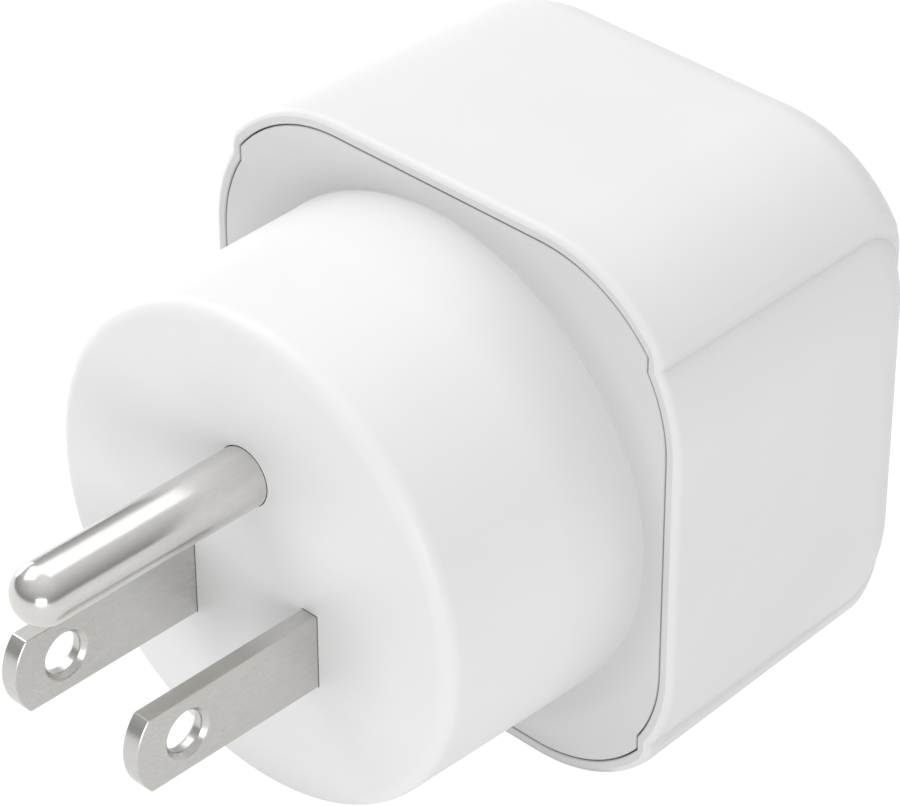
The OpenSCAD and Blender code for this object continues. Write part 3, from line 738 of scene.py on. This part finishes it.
# the socket face at the rear, its holes flared at the mouth
socket = {
    "thickness": 2.0, "room": 4.6, "row": 11.0, "near": -0.9, "far": -11.23,
    "wide": 11.11, "round": 9.5, "slant": 6.86, "blade": 6.35,
    "mouth": 0.3, "edge": 0.3,
    "innerHalf": (18.41, 19.31), "innerRound": 9.8, "pocketTop": 15.25, "pocketFoot": -8.9,
    "pocketSpare": 4.4,  # past the wide holes' middle, on each side
    "screwX": 12.5, "screwZ": -12.5, "screwHole": 1.25, "screwDepth": 3.4,
}
apertures = {  # width and height, or a radius
    "widePin": (6.9, 4.5), "roundPin": 2.45, "flatPin": (2, 7), "slant": 30,
    "roundEarth": 2.6, "flatEarth": (1.9, 7), "rectEarth": (4.6, 8.6),
}
spring = {"x": 10.0, "radius": 1.3, "wire": 0.4, "turns": 8, "sides": 12,
          "post": 0.75, "postLength": 2.5, "postRoot": 0.3}
socketBack = rearY - socket["thickness"]
coverBack = socketBack - socket["room"]
springY = (socketBack + coverBack) / 2


def rectOutline(x, z, width, height, turn=0.0):
    c, s = math.cos(math.radians(turn)), math.sin(math.radians(turn))
    corners = [(-1, -1), (1, -1), (1, 1), (-1, 1)]
    return [(x + c * a * width / 2 - s * b * height / 2,
             z + s * a * width / 2 + c * b * height / 2) for a, b in corners]


def apertureOutlines(grow):
    def rect(x, z, kind, turn=0.0):
        width, height = apertures[kind]
        return rectOutline(x, z, width + grow, height + grow, turn)

    def disc(x, z, kind):
        return circlePoints(x, z, apertures[kind] + grow / 2)

    made, row = [], socket["row"]
    for side in (-1, 1):
        made += [rect(side * socket["wide"], row, "widePin"),
                 disc(side * socket["round"], row, "roundPin"),
                 rect(side * socket["blade"], row, "flatPin"),
                 rect(side * socket["slant"], row, "flatPin", -apertures["slant"] * side)]
    return made + [disc(0, socket["near"], "roundEarth"), rect(0, socket["near"], "flatEarth"),
                   rect(0, socket["far"], "rectEarth")]


def apertureCutters(y0):
    mouth = socket["mouth"]
    levels = [(y0, 0)]
    for i in range(5):
        a = math.radians(18 * i)
        levels.append((rearY - mouth + mouth * math.sin(a), mouth * (1 - math.cos(a))))
    levels.append((rearY + 0.5, levels[-1][1] + 0.5))
    layers = [(y, apertureOutlines(2 * grow)) for y, grow in levels]
    return [skin("hole", [[(x, y, z) for x, z in outlines[k]] for y, outlines in layers])
            for k in range(len(layers[0][1]))]


def springPosts(low, high):
    # a stub on each side that centres the end of a spring
    circle = circlePoints(0, 0, spring["post"], 32)
    return [prism("post", [(side * spring["x"] + u, springY + v) for u, v in circle], "z", low, high)
            for side in (-1, 1)]


def buildSocket():
    like = housingQuarter(flangeY)
    inner = (*socket["innerHalf"], socket["innerRound"])
    outer = (insert["halfWidth"], insert["halfHeight"], insert["round"])
    rings = [ringFrom(padQuarter(*size, like), y)
             for size, y in ((inner, coverBack), (inner, rearWallY), (outer, rearWallY))]
    for i in range(6):
        a = math.radians(18 * i)
        step = socket["edge"] * (1 - math.cos(a))
        rings.append(ringFrom(padQuarter(*(v - step for v in outer), like),
                              rearY - socket["edge"] * (1 - math.sin(a))))
    obj = skin("socketPlate", rings)
    halfPocket = socket["wide"] + socket["pocketSpare"]
    pocket = block("pocket", (-halfPocket, coverBack - 1, socket["pocketFoot"]),
                   (halfPocket, socketBack, socket["pocketTop"]))
    cutters = [pocket] + apertureCutters(coverBack - 1)
    cutters += [bar("screwHole", side * socket["screwX"], socket["screwZ"], coverBack - 1,
                    coverBack + socket["screwDepth"], socket["screwHole"]) for side in (-1, 1)]
    combine(obj, cutters, "DIFFERENCE")
    foot = socket["pocketFoot"]
    combine(obj, springPosts(foot - spring["postRoot"], foot + spring["postLength"]), "UNION")
    finishPiece(obj, "adapter", finishes["satinWhitePlastic"],
                ["socket_face"], sharp=24)


buildSocket()

# the safety shutter behind the line holes, with its return springs
shutter = {"gap": 0.25, "low": 7.0, "high": 15.0, "inner": 4.75, "edge": 0.12, "travel": 7.5,
           "foot": 0.8, "tip": 0.6,  # of the ramps' slope
           "bridge": 10.9, "bridgeThickness": 1.2, "bridgeOverlap": 0.3}


def buildShutter():
    y0, y1 = coverBack + shutter["gap"], socketBack - shutter["gap"]
    low, high = shutter["low"], shutter["high"]
    outer = socket["wide"] + socket["pocketSpare"] - shutter["gap"]
    ramp = [(y0, low), (y1, low), (y1, low + shutter["foot"]), (y0 + shutter["tip"], high),
            (y0, high)]
    bridgeHalf = shutter["inner"] + shutter["bridgeOverlap"]
    obj = prism("shutterRamps", ramp, "x", shutter["inner"], outer)
    others = [prism("ramp", ramp, "x", -outer, -shutter["inner"]),
              block("bridge", (-bridgeHalf, y0, shutter["bridge"]),
                    (bridgeHalf, y0 + shutter["bridgeThickness"], high))]
    combine(obj, others, "UNION")
    softenEdges(obj, shutter["edge"], 1)
    combine(obj, springPosts(low - spring["postLength"], low + spring["postRoot"]), "UNION")
    finishPiece(obj, "shutter", finishes["slidingPlastic"], ["shutter"])


def buildSpring(name, node, side):
    low, high, wire = socket["pocketFoot"], shutter["low"], spring["wire"] / 2
    steps = 26 * spring["turns"]  # 26 rings in each turn
    rings = []
    for k in range(steps + 1):
        a = 2 * math.pi * spring["turns"] * k / steps
        z = low + wire + (high - low - 2 * wire) * k / steps
        ring = []
        for i in range(spring["sides"]):
            b = 2 * math.pi * i / spring["sides"]
            r = spring["radius"] + wire * math.cos(b)
            ring.append((side * spring["x"] + r * math.cos(a), springY + r * math.sin(a),
                         z + wire * math.sin(b)))
        rings.append(ring)
    obj = skin(name, rings)
    finishPiece(obj, "adapter", finishes["zincSteel"], [node], sharp=50, weigh=False)
    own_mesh(obj)


buildShutter()
buildSpring("returnSpringLeft", "shutter_spring_left", -1)
buildSpring("returnSpringRight", "shutter_spring_right", 1)

# camera, seen from the pin side, above and to the right
cameraSetup = {"location": (0.17504, -0.15899, 0.17739), "azimuth": 44.65, "elevation": 34.56,
               "roll": -0.5, "lens": 165.16, "shift": (0.0284, -0.0166)}


def addCamera():
    data = bpy.data.cameras.new("viewCamera")
    data.lens, data.sensor_width = cameraSetup["lens"], 36
    data.shift_x, data.shift_y = cameraSetup["shift"]
    data.clip_start, data.clip_end = 0.01, 20
    camera = bpy.data.objects.new("viewCamera", data)
    turn = (Matrix.Rotation(math.radians(cameraSetup["azimuth"]), 4, "Z")
            @ Matrix.Rotation(math.radians(90 - cameraSetup["elevation"]), 4, "X")
            @ Matrix.Rotation(math.radians(cameraSetup["roll"]), 4, "Z"))
    camera.matrix_world = Matrix.Translation(Vector(cameraSetup["location"])) @ turn
    bpy.context.scene.collection.objects.link(camera)
    bpy.context.scene.camera = camera


addCamera()

# a plain pale floor just under the housing
floorSetup = {"size": 6.0, "drop": 0.00005, "light": (0.86, 0.86, 0.86), "shade": (0.84, 0.84, 0.84),
              "clean": 0.9, "lit": 0.3,  # shares of glow, as seen and as it lights things
              "white": 1.08, "glow": 1.2,  # strengths of glow, in the same order
              "roughness": 0.9, "grain": 2.0, "drift": 400.0}


def addFloor():
    z = cadBox[0][2] - floorSetup["drop"]
    half = floorSetup["size"] / 2 / mm
    corners = [(a * half, b * half, z / mm) for a, b in ((-1, -1), (1, -1), (1, 1), (-1, 1))]
    floor = meshObject("studioFloor", corners, [(0, 1, 2, 3)])
    material, nodes, links, shader, where = startMaterial("paleFloorPaint")
    grain = placeGroup(nodes, links, mouldGrain,
                       {"Vector": where, "Grain Size": floorSetup["grain"],
                        "Drift Size": floorSetup["drift"]})
    tone = spanValue(nodes, links, grain["Tone"], 0, 1)
    paint = blendColour(nodes, links, tone, floorSetup["light"], floorSetup["shade"])
    links.new(paint, shader.inputs["Base Color"])
    shader.inputs["Roughness"].default_value = floorSetup["roughness"]
    glow = nodes.new("ShaderNodeEmission")  # keeps undersides light and the floor clean
    seen = nodes.new("ShaderNodeLightPath").outputs["Is Camera Ray"]
    strength = nodes.new("ShaderNodeMapRange")
    strength.inputs["To Min"].default_value = floorSetup["glow"]
    strength.inputs["To Max"].default_value = floorSetup["white"]
    links.new(seen, strength.inputs["Value"])
    links.new(strength.outputs["Result"], glow.inputs["Strength"])
    share = nodes.new("ShaderNodeMapRange")
    share.inputs["To Min"].default_value = floorSetup["lit"]
    share.inputs["To Max"].default_value = floorSetup["clean"]
    links.new(seen, share.inputs["Value"])
    mix = nodes.new("ShaderNodeMixShader")
    links.new(share.outputs["Result"], mix.inputs["Fac"])
    links.new(shader.outputs["BSDF"], mix.inputs[1])
    links.new(glow.outputs["Emission"], mix.inputs[2])
    links.new(mix.outputs["Shader"], nodes["Material Output"].inputs["Surface"])
    floor.data.materials.append(material)


addFloor()

# soft studio light: a pale surround and large soft boxes placed round the adapter
surround = {"level": 0.24, "above": 0.7, "white": 1.05}  # at the sides, added upwards, as seen
softBoxes = {
    "frontRightBox": {"azimuth": 41, "elevation": 6, "size": (0.2, 0.13), "power": 0.35},
    "leftBox": {"azimuth": -100, "elevation": 8, "size": (0.2, 0.13), "power": 0.28},
    "topBox": {"azimuth": -150, "elevation": 62, "size": (0.35, 0.28), "power": 0.22},
    "topLeftBox": {"azimuth": -80, "elevation": 55, "size": (0.3, 0.25), "power": 0.46},
}
boxDistance = 0.4


def aim(azimuth, elevation):
    a, e = math.radians(azimuth), math.radians(elevation)
    return Vector((math.sin(a) * math.cos(e), -math.cos(a) * math.cos(e), math.sin(e)))


def addSurround():
    world = bpy.data.worlds.new("paleSurround")
    bpy.context.scene.world = world
    world.use_nodes = True
    nodes, links = world.node_tree.nodes, world.node_tree.links
    where = nodes.new("ShaderNodeTexCoord").outputs["Generated"]
    height = nodes.new("ShaderNodeSeparateXYZ")
    links.new(where, height.inputs[0])
    upper = mathNode(nodes, links, "MAXIMUM", height.outputs["Z"], 0)
    total = mathNode(nodes, links, "ADD", mathNode(nodes, links, "MULTIPLY", upper, surround["above"]),
                     surround["level"])
    pick = nodes.new("ShaderNodeMix")
    pick.data_type = "FLOAT"
    links.new(nodes.new("ShaderNodeLightPath").outputs["Is Camera Ray"], pick.inputs["Factor"])
    links.new(total, pick.inputs["A"])
    pick.inputs["B"].default_value = surround["white"]
    links.new(pick.outputs["Result"], nodes["Background"].inputs["Color"])


def addSoftBoxes():
    for name, box in softBoxes.items():
        data = bpy.data.lights.new(name, "AREA")
        data.shape = "RECTANGLE"
        data.size, data.size_y = box["size"]
        data.energy = box["power"]
        light = bpy.data.objects.new(name, data)
        direction = aim(box["azimuth"], box["elevation"])
        light.visible_camera = False
        light.location = direction * boxDistance
        light.rotation_euler = direction.to_track_quat("Z", "Y").to_euler()
        bpy.context.scene.collection.objects.link(light)


addSurround()
addSoftBoxes()
bpy.context.scene.view_settings.view_transform = "Standard"
print("camera, floor and lights set")
